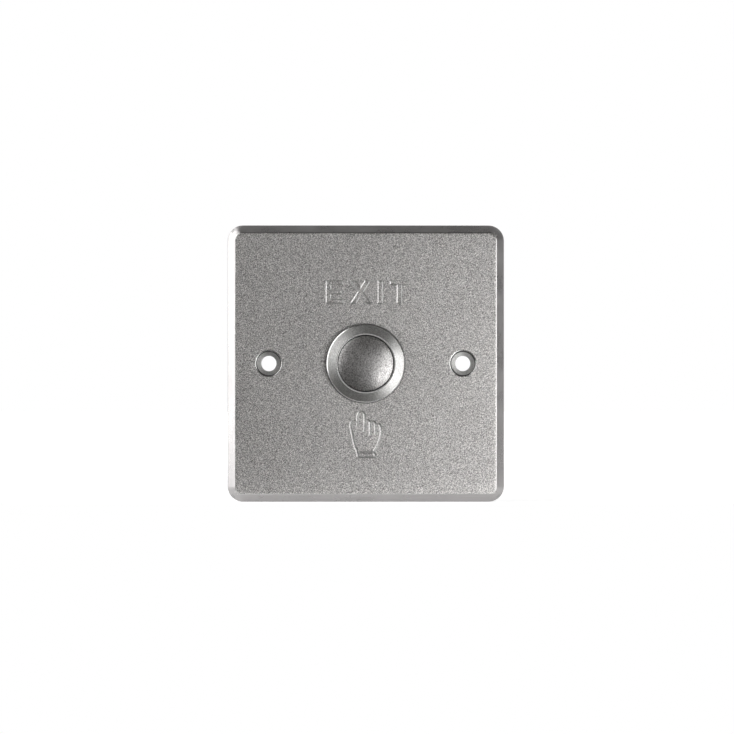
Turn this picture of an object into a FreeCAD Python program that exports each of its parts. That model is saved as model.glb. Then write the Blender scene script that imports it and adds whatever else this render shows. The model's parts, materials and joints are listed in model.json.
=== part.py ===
"""Door exit button: a square cast wall plate with a round metal push switch in its middle.

The plate fills a standard 86 mm switch box front. The switch goes through the plate from the
front: its flange clamps a rubber gasket on the face, and a lock washer and nut hold it from behind.
A domed cap rides in the switch's bore on a return spring. Its plunger carries a sprung contact
bridge, which closes the two fixed contacts in the moulded base before the cap reaches its stop.

Frame, in millimetres: the origin is the middle of the plate in the plane of the wall. +X is to
the right and +Z up as a person facing the wall sees it. +Y points into the wall, so the cap
faces -Y and is pressed along +Y.
"""

import FreeCAD
import Part

import math
import os

from FreeCAD import Vector

# Clearances that the fits share.
press_gap = 0.01          # between a pressed-in part and its socket
seat_gap = 0.02           # at a coil's ends, in a screw thread and round a part in its slot
slide_gap = 0.05          # round a part that slides in a guide
loose_gap = 0.15          # round a part that only has to pass

# Wall plate, one zinc casting that is open at the back.
plate_size = 86.0
plate_depth = 4.6         # from the wall to the front face
corner_radius = 4.8       # of the outline at the wall
bevel_width = 2.4         # of the sloping border, seen from the front
bevel_depth = 2.4
crown_width = 1.0         # of the stretch where the flat face rolls off towards the border
crown_drop = 0.1
plate_skin = 1.9
rim_wall = 2.1            # of the side walls, where they meet the wall
cavity_draft = 0.25       # that each cavity wall leans in over its depth
cavity_corner = 2.6
rib_thickness = 1.2
rib_setback = 0.8         # of the ribs behind the wall plane

# Two screw holes beside the switch, at the pitch of a standard wall box.
screw_pitch = 60.3
screw_hole_diameter = 4.8
sink_diameter = 7.9       # of the steep-walled recess that takes a screw's head
sink_wall_depth = 0.9
sink_wall_lean = 0.35     # that its wall leans in over its depth
sink_seat_drop = 0.15     # of the sloping seat, from the wall's foot to the hole
screw_boss_wall = 2.3

# Switch housing, turned from one bar: flange, threaded barrel, and a web across its bore.
barrel_diameter = 21.8    # over the thread
barrel_wall = 2.1
flange_overhang = 1.5     # of the flange over the barrel, all round
flange_edge = 0.6
cone_rise = 1.6           # of the flange's sloping face
lip_width = 0.45          # of the flat lip round the bore
web_thickness = 1.6

# Gasket, lock washer and nut that hold the housing in the plate.
gasket_thickness = 0.5
gasket_inset = 0.4        # of the gasket's edge inside the flange's
boss_margin = 2.0         # of the plate's boss beyond the washer
boss_setback = 1.5        # of the boss's face behind the wall plane
washer_thickness = 0.7
washer_width = 2.6        # from the barrel to the washer's rim
washer_teeth = 12
tooth_depth = 1.1
nut_wall = 2.6            # from the barrel to the nut's flats
nut_thickness = 3.5

# Button cap and plunger. The plunger's collar holds the seal against the end of the cap's skirt.
cap_clearance = 0.27      # between the cap and the bore
cap_proud = 0.1           # of the cap's edge over the lip
dome_rise = 1.9
skirt_length = 2.6
skirt_wall = 1.5
cap_roof = 0.6            # from the cap's edge down to its flat ceiling
press_travel = 2.5
plug_height = 1.4         # of the plunger's front end inside the skirt
collar_thickness = 0.8
stem_diameter = 5.0
pin_diameter = 2.8        # of the thinner end that carries the bridge
stem_tail = 0.7           # of full stem beyond the clip
pin_head_diameter = 3.6
pin_head_height = 0.7
seal_thickness = 0.8
clip_thickness = 0.6
clip_diameter = 8.4
clip_groove_depth = 0.55
clip_mouth = 3.0          # width of the clip's open side

# Springs, each a coil of round wire drawn with four flat sides.
return_wire = 0.5
return_coil_diameter = 9.4
return_spring_length = 5.0
return_turns = 2.75
contact_wire = 0.3
contact_coil_diameter = 4.0
contact_spring_length = 2.8
contact_turns = 2.25

# Contacts.
bridge_end = 0.4          # of the bridge beyond its tips
bridge_width = 3.4
bridge_thickness = 0.6
bridge_corner = 0.8       # cut off each of the bridge's corners
tip_side = 2.2            # of the square silver tips
tip_height = 0.6
tip_setback = 0.2         # of the tips from the leg of the strip
bridge_travel = 1.5       # that the bridge makes while the cap makes its whole travel
closed_gap = 0.03         # left between the tips when fully pressed

# Base, one moulding, and the parts that it carries.
base_clearance = 0.1      # between the base and the housing's bore
base_front_gap = 1.2      # from the web to the base
well_diameter = 9.6
base_floor = 4.6          # from the contact floor to the terminal deck
shoulder_height = 2.0
shoulder_inset = 0.6      # of the base's shoulder inside the barrel
head_pocket_depth = 0.8
barrier_width = 1.8
barrier_height = 3.0
strip_thickness = 0.8
strip_width = 3.0         # inside the base
deck_pad_width = 6.0      # of the strip on the terminal deck
strip_cover = 1.5         # of the base outside the strip's leg
strip_end = 0.7           # of the strip beyond its tip, towards the middle
terminal_screw_diameter = 3.0
terminal_screw_length = 4.5
terminal_head_inset = 0.1 # of the screw's head inside the clamp's sides
terminal_head_height = 1.9
terminal_slot_width = 0.8
terminal_slot_depth = 0.9
terminal_slot_turn = 35.0
screw_pocket_reserve = 0.5
clamp_inset = 0.35        # of the clamp inside the edges of the strip's deck pad
clamp_thickness = 0.8

# Places along the axis that follow from the sizes, from the front to the back.
y_face = -plate_depth
y_skin_back = y_face + plate_skin
y_flange = y_face - gasket_thickness
y_cone_foot = y_flange - flange_edge
y_lip = y_cone_foot - cone_rise
y_cap_edge = y_lip - cap_proud
y_cap_top = y_cap_edge - dome_rise
y_cap_ceiling = y_cap_edge + cap_roof
y_skirt_end = y_cap_edge + skirt_length
y_collar = y_skirt_end + seal_thickness
y_collar_back = y_collar + collar_thickness
y_web_front = y_collar_back + return_spring_length
y_web_back = y_web_front + web_thickness
y_clip = y_web_back + seat_gap
y_stem_end = y_clip + clip_thickness + stem_tail
y_bridge = y_stem_end + contact_spring_length
y_bridge_back = y_bridge + bridge_thickness
y_pin_head = y_bridge_back + seat_gap
y_pin_end = y_pin_head + pin_head_height
y_fixed_tip = y_bridge_back + tip_height + bridge_travel + closed_gap
y_strip = y_fixed_tip + tip_height
y_floor = y_strip + strip_thickness
y_deck = y_floor + base_floor
y_barrel_end = y_deck - shoulder_height
y_clamp = y_deck + strip_thickness
y_screw_head = y_clamp + clamp_thickness
y_boss = -boss_setback
y_nut = y_boss + washer_thickness

# Radii that several parts share.
barrel_radius = barrel_diameter / 2
bore_radius = barrel_radius - barrel_wall
flange_radius = barrel_radius + flange_overhang
washer_radius = barrel_radius + washer_width
boss_radius = washer_radius + boss_margin
cap_radius = bore_radius - cap_clearance
skirt_inner_radius = cap_radius - skirt_wall
plug_radius = skirt_inner_radius - press_gap
stem_radius = stem_diameter / 2
pin_radius = pin_diameter / 2
base_radius = bore_radius - base_clearance
screw_radius = terminal_screw_diameter / 2

# Places beside the axis, from the strip's leg inwards.
leg_outer = base_radius - strip_cover
leg_inner = leg_outer - strip_thickness
tip_offset = leg_inner - tip_setback - tip_side / 2
bridge_half = tip_offset + tip_side / 2 + bridge_end
deck_pad_end = barrier_width / 2 + loose_gap
terminal_offset = (deck_pad_end + leg_outer) / 2
clamp_half = (leg_outer - deck_pad_end) / 2 - clamp_inset
terminal_head_radius = clamp_half - terminal_head_inset

# The two poles of the switch and the side of the middle that each is on.
poles = {"no": -1, "com": 1}

AXIS = Vector(0, 1, 0)
ORIGIN = Vector(0, 0, 0)


def outline(corners):
    """A flat face in the XY plane. A corner (x, y, (mx, my)) is reached by an arc through mx, my."""
    edges = []
    last = Vector(corners[-1][0], corners[-1][1], 0)
    for corner in corners:
        here = Vector(corner[0], corner[1], 0)
        if len(corner) == 3:
            middle = Vector(corner[2][0], corner[2][1], 0)
            edges.append(Part.Arc(last, middle, here).toShape())
        else:
            edges.append(Part.LineSegment(last, here).toShape())
        last = here
    return Part.Face(Part.Wire(edges))


def turned(corners, angle=360):
    """A solid of revolution about the Y axis, from corners (radius, y)."""
    return outline(corners).revolve(ORIGIN, AXIS, angle)


def disc(radius, y_from, y_to, x=0.0, z=0.0):
    """A cylinder along Y between two depths."""
    return Part.makeCylinder(radius, y_to - y_from, Vector(x, y_from, z), AXIS)


def block(x_from, x_to, y_from, y_to, z_from, z_to):
    """A box between two corners."""
    return Part.makeBox(x_to - x_from, y_to - y_from, z_to - z_from, Vector(x_from, y_from, z_from))


def rounded_square(side, radius, y):
    """A closed wire: a square with round corners, in the plane at that depth."""
    half = side / 2
    straight = half - radius
    turn = radius * math.sqrt(0.5)
    edges = []
    for step in range(4):
        spin = FreeCAD.Rotation(AXIS, 90 * step)
        start, end = Vector(half, y, -straight), Vector(half, y, straight)
        after = Vector(straight, y, half)
        middle = Vector(straight + turn, y, straight + turn)
        edges.append(Part.LineSegment(spin.multVec(start), spin.multVec(end)).toShape())
        corner = Part.Arc(spin.multVec(end), spin.multVec(middle), spin.multVec(after))
        edges.append(corner.toShape())
    return Part.Wire(Part.__sortEdges__(edges))


def border_section():
    """The plate's section from a corner's axis out to its side: flat face, crown, bevel and side."""
    face_edge = corner_radius - bevel_width
    crown_start = face_edge - crown_width
    crown_radius = (crown_width**2 + crown_drop**2) / (2 * crown_drop)
    half_turn = math.asin(crown_width / crown_radius) / 2
    crown_middle = (
        crown_start + crown_radius * math.sin(half_turn),
        y_face + crown_radius * (1 - math.cos(half_turn)),
    )
    y_edge = y_face + crown_drop
    return [
        (0, 0),
        (0, y_face),
        (crown_start, y_face),
        (face_edge, y_edge, crown_middle),
        (corner_radius, y_edge + bevel_depth),
        (corner_radius, 0),
    ]


def plate_blank():
    """The plate as a full slab: its border section is swept round the corners and along the sides."""
    reach = plate_size / 2 - corner_radius
    section = outline(border_section())
    blank = block(-reach, reach, y_face, 0, -reach, reach)
    for step in range(4):
        corner = section.revolve(ORIGIN, AXIS, -90)
        corner.translate(Vector(reach, 0, reach))
        side = section.extrude(Vector(0, 0, -2 * reach))
        side.translate(Vector(reach, 0, reach))
        for piece in (corner, side):
            piece.rotate(ORIGIN, AXIS, 90 * step)
        blank = blank.fuse([corner, side])
    return blank.removeSplitter()


def face_plate():
    """The casting: slab, cavity with ribs and bosses, the switch's hole and two sunk screw holes."""
    inner = plate_size - 2 * rim_wall
    lean = 2 * cavity_draft
    open_side = rounded_square(inner, cavity_corner, 0)
    closed_side = rounded_square(inner - lean, cavity_corner - cavity_draft, y_skin_back)
    cavity = Part.makeLoft([open_side, closed_side], True, True)
    screw_x = screw_pitch / 2
    screw_boss_radius = screw_hole_diameter / 2 + screw_boss_wall
    kept = [disc(boss_radius, y_skin_back, y_boss)]
    half_rib = rib_thickness / 2
    kept.append(block(-inner / 2, inner / 2, y_skin_back, -rib_setback, -half_rib, half_rib))
    kept.append(block(-half_rib, half_rib, y_skin_back, -rib_setback, -inner / 2, inner / 2))
    for side in (-1, 1):
        kept.append(disc(screw_boss_radius, y_skin_back, 0, side * screw_x))
    ribbing = kept[0].fuse(kept[1:]).common(cavity)
    # The ribs end at the boss's rim, where the washer and nut need room.
    ribbing = ribbing.cut(disc(boss_radius, y_boss, 0))
    plate = plate_blank().cut(cavity.cut(ribbing))
    plate = plate.cut(disc(barrel_radius + loose_gap, y_face, 0))
    hole, sink = screw_hole_diameter / 2, sink_diameter / 2
    y_seat = y_face + sink_wall_depth
    screw_hole = turned([
        (0, y_face),
        (sink, y_face),
        (sink - sink_wall_lean, y_seat),
        (hole, y_seat + sink_seat_drop),
        (hole, 0),
        (0, 0),
    ])
    for side in (-1, 1):
        moved = screw_hole.copy()
        moved.translate(Vector(side * screw_x, 0, 0))
        plate = plate.cut(moved)
    return plate.removeSplitter()


def switch_housing():
    """The turned body: sloping flange, barrel, cap bore, web with the stem's hole, rear chamber."""
    stem_hole = stem_radius + slide_gap
    return turned([
        (flange_radius, y_flange),
        (flange_radius, y_cone_foot),
        (bore_radius + lip_width, y_lip),
        (bore_radius, y_lip),
        (bore_radius, y_web_front),
        (stem_hole, y_web_front),
        (stem_hole, y_web_back),
        (bore_radius, y_web_back),
        (bore_radius, y_barrel_end),
        (barrel_radius, y_barrel_end),
        (barrel_radius, y_flange),
    ])


def flange_gasket():
    """A flat rubber ring between the flange and the plate's face."""
    outer = disc(flange_radius - gasket_inset, y_flange, y_face)
    return outer.cut(disc(barrel_radius + loose_gap, y_flange, y_face))


def lock_washer():
    """A thin steel ring with square teeth cut round its bore."""
    bore = barrel_radius + loose_gap
    washer = disc(washer_radius, y_boss, y_nut).cut(disc(bore, y_boss, y_nut))
    root = bore + tooth_depth
    gap_width = math.pi * root / washer_teeth
    for tooth in range(washer_teeth):
        gap = block(0, root, y_boss, y_nut, -gap_width / 2, gap_width / 2)
        gap.rotate(ORIGIN, AXIS, 360 * tooth / washer_teeth)
        washer = washer.cut(gap)
    return washer


def mounting_nut():
    """A thin hexagon nut, with flats above and below."""
    corner = (barrel_radius + nut_wall) / math.cos(math.pi / 6)
    y_back = y_nut + nut_thickness
    turns = [math.pi / 3 * step for step in range(7)]
    hexagon = Part.makePolygon([Vector(corner * math.cos(a), y_nut, corner * math.sin(a)) for a in turns])
    nut = Part.Face(hexagon).extrude(Vector(0, nut_thickness, 0))
    return nut.cut(disc(barrel_radius + seat_gap, y_nut, y_back))


def button_cap():
    """A turned dome with a skirt that the plunger's plug is pressed into."""
    blank = turned([
        (0, y_cap_top),
        (cap_radius, y_cap_top),
        (cap_radius, y_skirt_end),
        (skirt_inner_radius, y_skirt_end),
        (skirt_inner_radius, y_cap_ceiling),
        (0, y_cap_ceiling),
    ])
    # The ball's own poles lie off to the sides, which keeps the dome's mesh even.
    dome_radius = (cap_radius**2 + dome_rise**2) / (2 * dome_rise)
    ball = Part.makeSphere(dome_radius, Vector(0, y_cap_top + dome_radius, 0), Vector(1, 0, 0))
    return blank.common(ball)


def cap_seal():
    """A flat rubber ring between the skirt's end and the plunger's collar, wiping the bore."""
    outer = disc(bore_radius - slide_gap, y_skirt_end, y_collar)
    return outer.cut(disc(plug_radius + loose_gap, y_skirt_end, y_collar))


def plunger():
    """A moulded plug with a collar, a stem with the clip's groove, and a thin headed pin."""
    groove = stem_radius - clip_groove_depth
    return turned([
        (0, y_skirt_end - plug_height),
        (plug_radius, y_skirt_end - plug_height),
        (plug_radius, y_collar),
        (cap_radius, y_collar),
        (cap_radius, y_collar_back),
        (stem_radius, y_collar_back),
        (stem_radius, y_clip - seat_gap),
        (groove, y_clip - seat_gap),
        (groove, y_clip + clip_thickness + seat_gap),
        (stem_radius, y_clip + clip_thickness + seat_gap),
        (stem_radius, y_stem_end),
        (pin_radius, y_stem_end),
        (pin_radius, y_pin_head),
        (pin_head_diameter / 2, y_pin_head),
        (pin_head_diameter / 2, y_pin_end),
        (0, y_pin_end),
    ])


def retaining_clip():
    """An open steel ring, pushed sideways into the stem's groove, that stops the cap coming out."""
    inner = stem_radius - clip_groove_depth + press_gap
    y_back = y_clip + clip_thickness
    ring = disc(clip_diameter / 2, y_clip, y_back).cut(disc(inner, y_clip, y_back))
    return ring.cut(block(-clip_mouth / 2, clip_mouth / 2, y_clip, y_back, 0, clip_diameter))


def coil(wire, mean_diameter, turns, y_from, y_to):
    """A compression spring along Y, its wire drawn with four flat sides."""
    rise = y_to - y_from - wire
    helix = Part.makeHelix(rise / turns, rise, mean_diameter / 2)
    inner, outer = mean_diameter / 2 - wire / 2, mean_diameter / 2 + wire / 2
    low, high = -wire / 2, wire / 2
    corners = [(inner, low), (outer, low), (outer, high), (inner, high), (inner, low)]
    section = Part.makePolygon([Vector(x, 0, z) for x, z in corners])
    spring = Part.Wire(helix).makePipeShell([section], True, True)
    spring.rotate(ORIGIN, Vector(1, 0, 0), -90)
    spring.translate(Vector(0, y_from + wire / 2, 0))
    return spring


def return_spring():
    """The coil between the plunger's collar and the web, round the stem."""
    return coil(return_wire, return_coil_diameter, return_turns,
                y_collar_back + seat_gap, y_web_front - seat_gap)


def contact_spring():
    """The small coil on the pin that presses the bridge against the pin's head."""
    return coil(contact_wire, contact_coil_diameter, contact_turns,
                y_stem_end + seat_gap, y_bridge - seat_gap)


def contact_bridge():
    """A copper strip with its corners cut off, threaded on the pin."""
    side = bridge_width / 2
    strip = block(-bridge_half, bridge_half, y_bridge, y_bridge_back, -side, side)
    upright = [e for e in strip.Edges if abs(e.tangentAt(e.FirstParameter).y) > 0.5]
    strip = strip.makeChamfer(bridge_corner, upright)
    return strip.cut(disc(pin_radius + loose_gap, y_bridge, y_bridge_back))


def contact_tip(side, y_from):
    """A square silver tip on one side of the middle."""
    x, half = side * tip_offset, tip_side / 2
    return block(x - half, x + half, y_from, y_from + tip_height, -half, half)


def terminal_strip(side):
    """A brass strip bent round the base's floor: contact pad, leg, and tapped pad on the deck."""
    y_pad_back = y_deck + strip_thickness
    pad_end = tip_offset - tip_side / 2 - strip_end
    half, deck_half = strip_width / 2, deck_pad_width / 2
    pad = block(pad_end, leg_outer, y_strip, y_floor, -half, half)
    leg = block(leg_inner, leg_outer, y_strip, y_pad_back, -half, half)
    deck_pad = block(deck_pad_end, leg_outer, y_deck, y_pad_back, -deck_half, deck_half)
    strip = pad.fuse([leg, deck_pad]).removeSplitter()
    strip = strip.cut(disc(screw_radius + seat_gap, y_deck, y_pad_back, terminal_offset))
    if side < 0:
        strip = strip.mirror(ORIGIN, Vector(1, 0, 0))
    return strip


def contact_base():
    """The moulded plug: contact slot and well in front, shoulder, terminal deck and barrier behind."""
    y_front = y_web_back + base_front_gap
    shoulder_radius = barrel_radius - shoulder_inset
    base = turned([
        (0, y_front),
        (base_radius, y_front),
        (base_radius, y_barrel_end),
        (shoulder_radius, y_barrel_end),
        (shoulder_radius, y_deck),
        (0, y_deck),
    ])
    half_barrier = barrier_width / 2
    y_barrier_end = y_deck + barrier_height
    barrier = block(-half_barrier, half_barrier, y_deck, y_barrier_end, -base_radius, base_radius)
    base = base.fuse(barrier)
    slot_x = bridge_half + loose_gap
    slot_z = bridge_width / 2 + loose_gap
    cuts = [
        disc(well_diameter / 2, y_front, y_floor),
        block(-slot_x, slot_x, y_front, y_floor, -slot_z, slot_z),
        disc(pin_head_diameter / 2 + loose_gap, y_floor, y_floor + head_pocket_depth),
    ]
    half = strip_width / 2 + seat_gap
    y_pocket = y_screw_head - terminal_screw_length - screw_pocket_reserve
    for side in poles.values():
        x_from, x_to = sorted((side * (leg_inner - seat_gap), side * (leg_outer + seat_gap)))
        cuts.append(block(x_from, x_to, y_strip, y_deck, -half, half))
        cuts.append(disc(screw_radius + loose_gap, y_pocket, y_deck, side * terminal_offset))
    return base.cut(cuts[0].fuse(cuts[1:])).removeSplitter()


def terminal_screw(side):
    """A slotted screw, head to the back."""
    x = side * terminal_offset
    y_end = y_screw_head + terminal_head_height
    shank = disc(screw_radius, y_screw_head - terminal_screw_length, y_screw_head, x)
    screw = shank.fuse(disc(terminal_head_radius, y_screw_head, y_end, x))
    half_slot, reach = terminal_slot_width / 2, 2 * terminal_head_radius
    slot = block(x - reach, x + reach, y_end - terminal_slot_depth, y_end, -half_slot, half_slot)
    slot.rotate(Vector(x, 0, 0), AXIS, side * terminal_slot_turn)
    return screw.cut(slot).removeSplitter()


def wire_clamp(side):
    """A square plate under a screw's head that presses the wire's end on the terminal."""
    x, half = side * terminal_offset, deck_pad_width / 2 - clamp_inset
    clamp = block(x - clamp_half, x + clamp_half, y_clamp, y_screw_head, -half, half)
    return clamp.cut(disc(screw_radius + loose_gap, y_clamp, y_screw_head, x))


nodes = {
    "face_plate": face_plate(),
    "switch_housing": switch_housing(),
    "flange_gasket": flange_gasket(),
    "lock_washer": lock_washer(),
    "mounting_nut": mounting_nut(),
    "button_cap": button_cap(),
    "cap_seal": cap_seal(),
    "plunger": plunger(),
    "retaining_clip": retaining_clip(),
    "return_spring": return_spring(),
    "contact_spring": contact_spring(),
    "contact_bridge": contact_bridge(),
    "contact_base": contact_base(),
}
for pole, side in poles.items():
    nodes[f"{pole}_bridge_tip"] = contact_tip(side, y_bridge_back)
    nodes[f"{pole}_fixed_tip"] = contact_tip(side, y_fixed_tip)
    nodes[f"{pole}_terminal"] = terminal_strip(side)
    nodes[f"{pole}_clamp"] = wire_clamp(side)
    nodes[f"{pole}_screw"] = terminal_screw(side)

os.makedirs("parts", exist_ok=True)
for name, shape in nodes.items():
    if not shape.isValid() or len(shape.Solids) != 1:
        raise ValueError(f"{name} is not one valid solid")
    shape.exportStep(f"parts/{name}.step")
    print(name, round(shape.Volume, 2), "mm3")
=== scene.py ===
# %% [markdown]
# # A door exit button, dressed for its photograph
#
# The frame holds the solids of a wall plate with a round push switch in it: the sizes, the places
# and what moves are settled there. This lesson adds what a solid leaves out, which is how the
# thing looks: the sand-blasted face with its sunk word and hand, the soft edges of a casting, the
# turned rings of the switch, cut threads, and a finish on each piece inside and behind.

# %% Load the frame
import bmesh
import bpy
import json
import math
import numpy as np
from mathutils import Matrix, Vector

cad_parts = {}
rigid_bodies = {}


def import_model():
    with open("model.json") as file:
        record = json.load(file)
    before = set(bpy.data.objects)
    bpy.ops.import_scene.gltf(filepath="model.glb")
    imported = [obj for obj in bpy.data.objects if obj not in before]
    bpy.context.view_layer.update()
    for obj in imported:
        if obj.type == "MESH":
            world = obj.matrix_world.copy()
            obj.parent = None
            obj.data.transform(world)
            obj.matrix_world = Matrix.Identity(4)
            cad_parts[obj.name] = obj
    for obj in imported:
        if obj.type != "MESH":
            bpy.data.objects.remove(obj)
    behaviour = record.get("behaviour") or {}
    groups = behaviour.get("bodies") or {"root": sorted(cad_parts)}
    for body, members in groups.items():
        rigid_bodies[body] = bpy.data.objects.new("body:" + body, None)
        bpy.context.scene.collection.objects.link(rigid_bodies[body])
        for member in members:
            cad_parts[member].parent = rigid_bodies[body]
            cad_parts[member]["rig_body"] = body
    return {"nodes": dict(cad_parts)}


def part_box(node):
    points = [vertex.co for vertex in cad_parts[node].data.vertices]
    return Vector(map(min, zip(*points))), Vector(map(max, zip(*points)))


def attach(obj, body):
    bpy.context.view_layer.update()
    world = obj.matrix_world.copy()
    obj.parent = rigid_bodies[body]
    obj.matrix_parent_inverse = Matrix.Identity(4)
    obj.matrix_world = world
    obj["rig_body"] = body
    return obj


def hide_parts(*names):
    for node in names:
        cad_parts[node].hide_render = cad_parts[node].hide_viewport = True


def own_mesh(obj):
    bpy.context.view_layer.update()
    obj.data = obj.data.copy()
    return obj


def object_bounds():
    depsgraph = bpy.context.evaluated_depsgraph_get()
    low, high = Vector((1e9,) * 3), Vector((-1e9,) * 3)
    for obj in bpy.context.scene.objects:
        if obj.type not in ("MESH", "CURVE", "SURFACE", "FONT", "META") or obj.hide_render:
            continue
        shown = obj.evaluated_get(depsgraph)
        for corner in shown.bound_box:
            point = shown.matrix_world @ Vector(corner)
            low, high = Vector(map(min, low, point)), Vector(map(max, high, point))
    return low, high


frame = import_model()
cad_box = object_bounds()
mm = 0.001
print("box in mm:", [[round(c / mm, 2) for c in corner] for corner in cad_box])

# %% [markdown]
# ## The camera
#
# The photograph looks straight at the plate from far off, so its sides run almost parallel. A long
# lens does the same. Distance and lens go together: the lens is worked out so that the plate fills
# the same share of the picture from any distance. The plate stands a little off the middle of the
# picture, and the camera moves sideways by as much, which leaves it looking straight ahead.

# %% Set the camera
picture_px = 734
plate_px = 277.1               # width of the plate in the photograph
plate_middle_px = (365.8, 363.5)
camera_distance = 1.0          # metres in front of the face
sensor = 36.0                  # width in millimetres

plate_low, plate_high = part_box("face_plate")
plate_side = plate_high.x - plate_low.x
px = plate_side / plate_px
face_y = plate_low.y
picture_width = picture_px * px

camera = bpy.data.objects.new("camera", bpy.data.cameras.new("camera"))
bpy.context.scene.collection.objects.link(camera)
bpy.context.scene.camera = camera
camera.data.sensor_width = sensor
camera.data.lens = sensor * camera_distance / picture_width
camera.location = (
    (picture_px / 2 - plate_middle_px[0]) * px,
    face_y - camera_distance,
    (plate_middle_px[1] - picture_px / 2) * px,
)
camera.rotation_euler = (math.radians(90), 0, 0)
print("one pixel is", round(px / mm, 3), "mm; lens", round(camera.data.lens, 1), "mm")

# %% [markdown]
# ## Two helpers for nodes
#
# Background, floor and finishes are built from nodes. One helper adds a node with its settings and
# inputs, which go by their label or, as _0 and _1, by their number. The other draws wires.

# %% Write the helpers for nodes
def add(tree, kind, **settings):
    """A node with some of its settings and input values."""
    made = tree.nodes.new(kind)
    for key, value in settings.items():
        if key in made.bl_rna.properties:
            setattr(made, key, value)
        else:
            made.inputs[int(key[1:]) if key[1:].isdigit() else key].default_value = value
    return made


def wire(tree, *wires):
    """Wires, each given by a node, its output, the next node and its input."""
    for source, output, target, entry in wires:
        tree.links.new(source.outputs[output], target.inputs[entry])


# %% [markdown]
# ## Light
#
# A satin metal shows what stands round it. In the photograph the plate is brightest at its lower
# right, its left border is white, and its raised ring is white on the right, light on the left and
# dark above and below. So a large soft lamp stands close by on the right, with one below and one
# above it that give the slope from dark to light across the face. A tall lamp far out on the left
# meets the left border and the ring's left side, and a weak one stands above it. The weak lamp
# straight ahead lifts the whole face, and the one behind lights the back for other views. The lamps
# hide from the camera. Each is given by the brightness of its face, so its size can change without
# making the metal lighter or darker.

# %% Set the lamps
plate_middle = Vector((0, 0, 0))


def soft_lamp(name, place, width, height, radiance):
    """A lamp that looks at the plate, whose power gives its face a brightness at any size."""
    lamp = bpy.data.lights.new(name, "AREA")
    lamp.shape = "RECTANGLE"
    lamp.size, lamp.size_y = width, height
    lamp.energy = radiance * math.pi * width * height
    obj = bpy.data.objects.new(name, lamp)
    bpy.context.scene.collection.objects.link(obj)
    obj.visible_camera = False
    obj.location = place
    obj.rotation_euler = (plate_middle - Vector(place)).to_track_quat("-Z", "Y").to_euler()


def toward(polar, turn, distance):
    """A place seen from the plate at an angle off straight ahead, turned up from the right."""
    a, b = math.radians(polar), math.radians(turn)
    aside = distance * math.sin(a)
    return (aside * math.cos(b), -distance * math.cos(a), aside * math.sin(b))


lamps = [
    # name, degrees off straight ahead, degrees up from the right, distance, width, height, radiance
    ("lamp_right", 50, -12, 0.22, 0.20, 0.20, 1.5),
    ("lamp_low", 42, -38, 0.21, 0.10, 0.10, 2.6),
    ("lamp_high", 52, 12, 0.31, 0.14, 0.14, 1.6),
    ("lamp_left", 82, 157, 0.50, 0.36, 0.72, 2.4),
    ("lamp_upper_left", 62, 150, 0.50, 0.20, 0.40, 0.72),
    ("lamp_front", 3, 90, 1.30, 0.60, 0.60, 0.40),
    ("lamp_back", 140, 60, 0.90, 0.50, 0.50, 1.3),
]
for name, polar, turn, distance, width, height, radiance in lamps:
    soft_lamp(name, toward(polar, turn, distance), width, height, radiance)
print("lamps:", len(bpy.data.lights))

# %% [markdown]
# ## Background
#
# What the background shows depends on the ray. The camera sees white. Other rays see a dim room in
# front of the plate, which keeps the metal dark where no lamp is mirrored, and a room that turns
# white behind it. Only mirrors and glass see all of that white, and other surfaces see half of it.

# %% Make the background
room_grey = (0.10, 0.099, 0.097, 1)
room_ends, white_starts = 0.04, 0.45    # Y of a ray's direction: 1 is straight back
soft_share = 0.5

world = bpy.data.worlds.new("studio")
bpy.context.scene.world = world
world.use_nodes = True
nt = world.node_tree
nt.nodes.clear()
path = add(nt, "ShaderNodeLightPath")
where = add(nt, "ShaderNodeTexCoord")
split = add(nt, "ShaderNodeSeparateXYZ")
behind = add(nt, "ShaderNodeMapRange", **{"From Min": room_ends, "From Max": white_starts})
mirror_ray = add(nt, "ShaderNodeMath", operation="MAXIMUM")
any_ray = add(nt, "ShaderNodeMath", operation="MAXIMUM", _1=soft_share)
seen = add(nt, "ShaderNodeMath", operation="MULTIPLY")
white = add(nt, "ShaderNodeMath", operation="MAXIMUM")
shade = add(nt, "ShaderNodeMix", data_type="RGBA", A=room_grey, B=(1, 1, 1, 1))
back = add(nt, "ShaderNodeBackground")
out = add(nt, "ShaderNodeOutputWorld")
wire(
    nt,
    (where, "Generated", split, 0),
    (split, "Y", behind, "Value"),
    (path, "Is Glossy Ray", mirror_ray, 0),
    (path, "Is Transmission Ray", mirror_ray, 1),
    (mirror_ray, 0, any_ray, 0),
    (any_ray, 0, seen, 0),
    (behind, 0, seen, 1),
    (path, "Is Camera Ray", white, 0),
    (seen, 0, white, 1),
    (white, 0, shade, "Factor"),
    (shade, "Result", back, "Color"),
    (back, 0, out, "Surface"),
)
bpy.context.scene.view_settings.view_transform = "Standard"
print("background nodes:", len(nt.nodes))

# %% [markdown]
# ## Floor
#
# The floor is a pale sheet under the plate. For the camera it glows: less near the plate, so that
# it still holds a shadow, and fully far away and at its front edge, so that it fades into the
# white. In the metal it is a little dimmer, and from below it is clear.

# %% Lay the floor
floor_reach = 2.0
floor_front = -0.010           # where the sheet starts, just in front of the button
floor_z = cad_box[0][2]
paper_grey = 0.8
near_glow, full_glow = 0.6, 1.0
fade_from, fade_to = 0.15, 0.7
mirror_share = 0.80

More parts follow.
